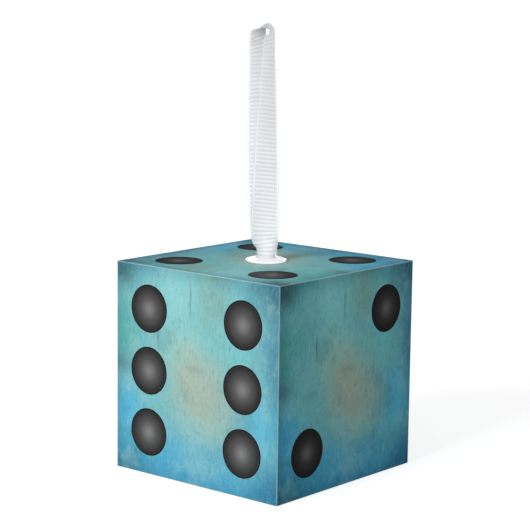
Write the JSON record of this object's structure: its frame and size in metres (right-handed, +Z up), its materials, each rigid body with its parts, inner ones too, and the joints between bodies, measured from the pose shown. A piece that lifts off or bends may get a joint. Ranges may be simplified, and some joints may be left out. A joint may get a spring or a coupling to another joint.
{
  "type": "hanging cube ornament",
  "caption": "Hanging cube ornament patterned as a die: hollow core, mottled teal panels with flush dark spots, and a white ribbon loop through a flanged grommet on top.",
  "frame": {"origin": "centre of the cube's underside", "axes": "+Z up through the grommet, -Y out of the face with six spots, +X out of the face with two spots"},
  "size_m": [0.047, 0.047, 0.0998],
  "materials": {
    "core_plastic": "moulded white plastic, unseen apart from the joint lines",
    "printed_panel": "white sheet printed with a mottled teal, sky-blue and beige picture, satin",
    "spot": "charcoal disc, lighter towards its middle, with a fine black outline",
    "grommet_plastic": "moulded white plastic",
    "ribbon_fabric": "white grosgrain with cross ribs and smooth selvages"
  },
  "bodies": {
    "cube": {"core_shell": "core_plastic", "core_cover": "core_plastic", "grommet": "grommet_plastic", "panel_one": "printed_panel", "panel_two": "printed_panel", "panel_three": "printed_panel", "panel_four": "printed_panel", "panel_five": "printed_panel", "panel_six": "printed_panel", "pips_one": "spot", "pips_two": "spot", "pips_three": "spot", "pips_four": "spot", "pips_five": "spot", "pips_six": "spot"},
    "ribbon_anchor": {"ribbon_knot": "ribbon_fabric", "ribbon_tails": "ribbon_fabric", "ribbon_neck": "ribbon_fabric"},
    "hanging_loop": {"ribbon_loop": "ribbon_fabric"}
  },
  "joints": [
    {"name": "ribbon_swivel", "type": "hinge", "parent": "cube", "child": "ribbon_anchor", "pos_m": [0, 0, 0.047], "axis": [0, 0, 1], "continuous": true},
    {"name": "loop_tilt", "type": "hinge", "parent": "ribbon_anchor", "child": "hanging_loop", "pos_m": [0, 0, 0.049], "axis": [0.766, 0.6428, 0], "range_deg": [-80, 80], "deforming": ["ribbon_neck"]}
  ]
}
